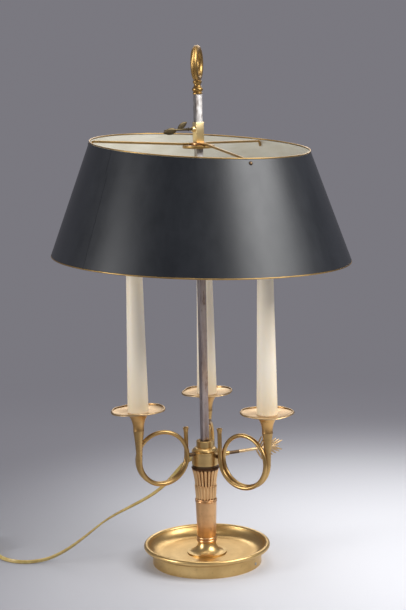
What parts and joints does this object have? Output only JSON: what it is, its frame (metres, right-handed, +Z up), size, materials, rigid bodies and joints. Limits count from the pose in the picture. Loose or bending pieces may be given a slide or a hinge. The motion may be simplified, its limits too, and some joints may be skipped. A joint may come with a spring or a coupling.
{
  "type": "table lamp",
  "caption": "Bouillotte table lamp with horn-shaped candle arms on a round dish base and a tin shade that slides and clamps on a square rod.",
  "frame": {"origin": "centre of the base's underside, on the surface that the lamp stands on", "axes": "+Z up along the rod, X to the lamp's right seen from its front, -Y towards the front"},
  "size_m": [0.5926, 0.3766, 0.66],
  "materials": {
    "copper_brass": "polished, warm copper tone, lightly tarnished",
    "brass": "polished, aged",
    "dark_brass": "tarnished, dark in the hollows",
    "gilt": "bright bead",
    "bright_steel": "bright at the top, tarnished below",
    "steel": "plain",
    "cast_iron": "rough",
    "felt": "felt",
    "candle": "aged ivory",
    "holder": "moulded",
    "bulb": "clear",
    "wire": "insulation",
    "black_tin": "satin black outside, cream inside",
    "cord": "translucent gold",
    "gold_plastic": "moulded"
  },
  "bodies": {
    "lamp": {"base_dish": "copper_brass", "base_weight": "cast_iron", "base_felt": "felt", "base_nut": "steel", "base_washer": "steel", "column_foot": "brass", "lower_rings": "copper_brass", "column_shaft": "brass", "upper_rings": "copper_brass", "column_capital": "dark_brass", "hub_floor": "dark_brass", "square_rod": "bright_steel", "collar": "brass", "collar_cap": "brass", "arrow_boss": "dark_brass", "cord_gland": "cord", "horn_tube_left": "brass", "horn_bell_left": "brass", "drip_pan_left": "brass", "candle_sleeve_left": "candle", "lampholder_left": "holder", "bulb_glass_left": "bulb", "horn_tube_right": "brass", "horn_bell_right": "brass", "drip_pan_right": "brass", "candle_sleeve_right": "candle", "lampholder_right": "holder", "bulb_glass_right": "bulb", "horn_tube_back": "brass", "horn_bell_back": "brass", "drip_pan_back": "brass", "candle_sleeve_back": "candle", "lampholder_back": "holder", "bulb_glass_back": "bulb", "arm_lugs": "brass", "arm_wires": "wire", "bulb_caps": "steel", "candle_risers": "steel", "finial_knob": "brass", "finial_ring": "brass", "cord_lead": "cord", "cord_link": "cord", "cord_coil": "cord", "switch_base": "gold_plastic", "switch_cover": "gold_plastic", "plug_body": "gold_plastic", "plug_pins": "steel"},
    "shade": {"shade_shell": "black_tin", "shade_top_bead": "gilt", "shade_bottom_bead": "gilt", "spider_hub": "brass", "spider_wires": "brass", "shade_rivets": "brass", "shade_sleeve": "brass", "sleeve_ring": "copper_brass"},
    "shade_key": {"shade_key": "dark_brass"},
    "arrow_screw": {"arrow_screw": "steel", "arrow_tail": "brass"},
    "switch_rocker": {"switch_rocker": "gold_plastic"}
  },
  "joints": [
    {"name": "shade_slide", "type": "slide", "parent": "lamp", "child": "shade", "axis": [0, 0, 1], "range_m": [-0.36, 0.033]},
    {"name": "shade_key_turn", "type": "hinge", "parent": "shade", "child": "shade_key", "pos_m": [0, 0, 0.5575], "axis": [-0.891, -0.454, 0], "range_deg": [0, 360]},
    {"name": "arrow_screw_turn", "type": "hinge", "parent": "lamp", "child": "arrow_screw", "pos_m": [0, 0, 0.1395], "axis": [0.891, 0.454, 0], "range_deg": [0, 360]},
    {"name": "switch_rocker_tilt", "type": "hinge", "parent": "lamp", "child": "switch_rocker", "pos_m": [-0.30802, 0.06898, 0.0139], "axis": [0.8517, 0.5241, 0], "range_deg": [0, 12]}
  ]
}
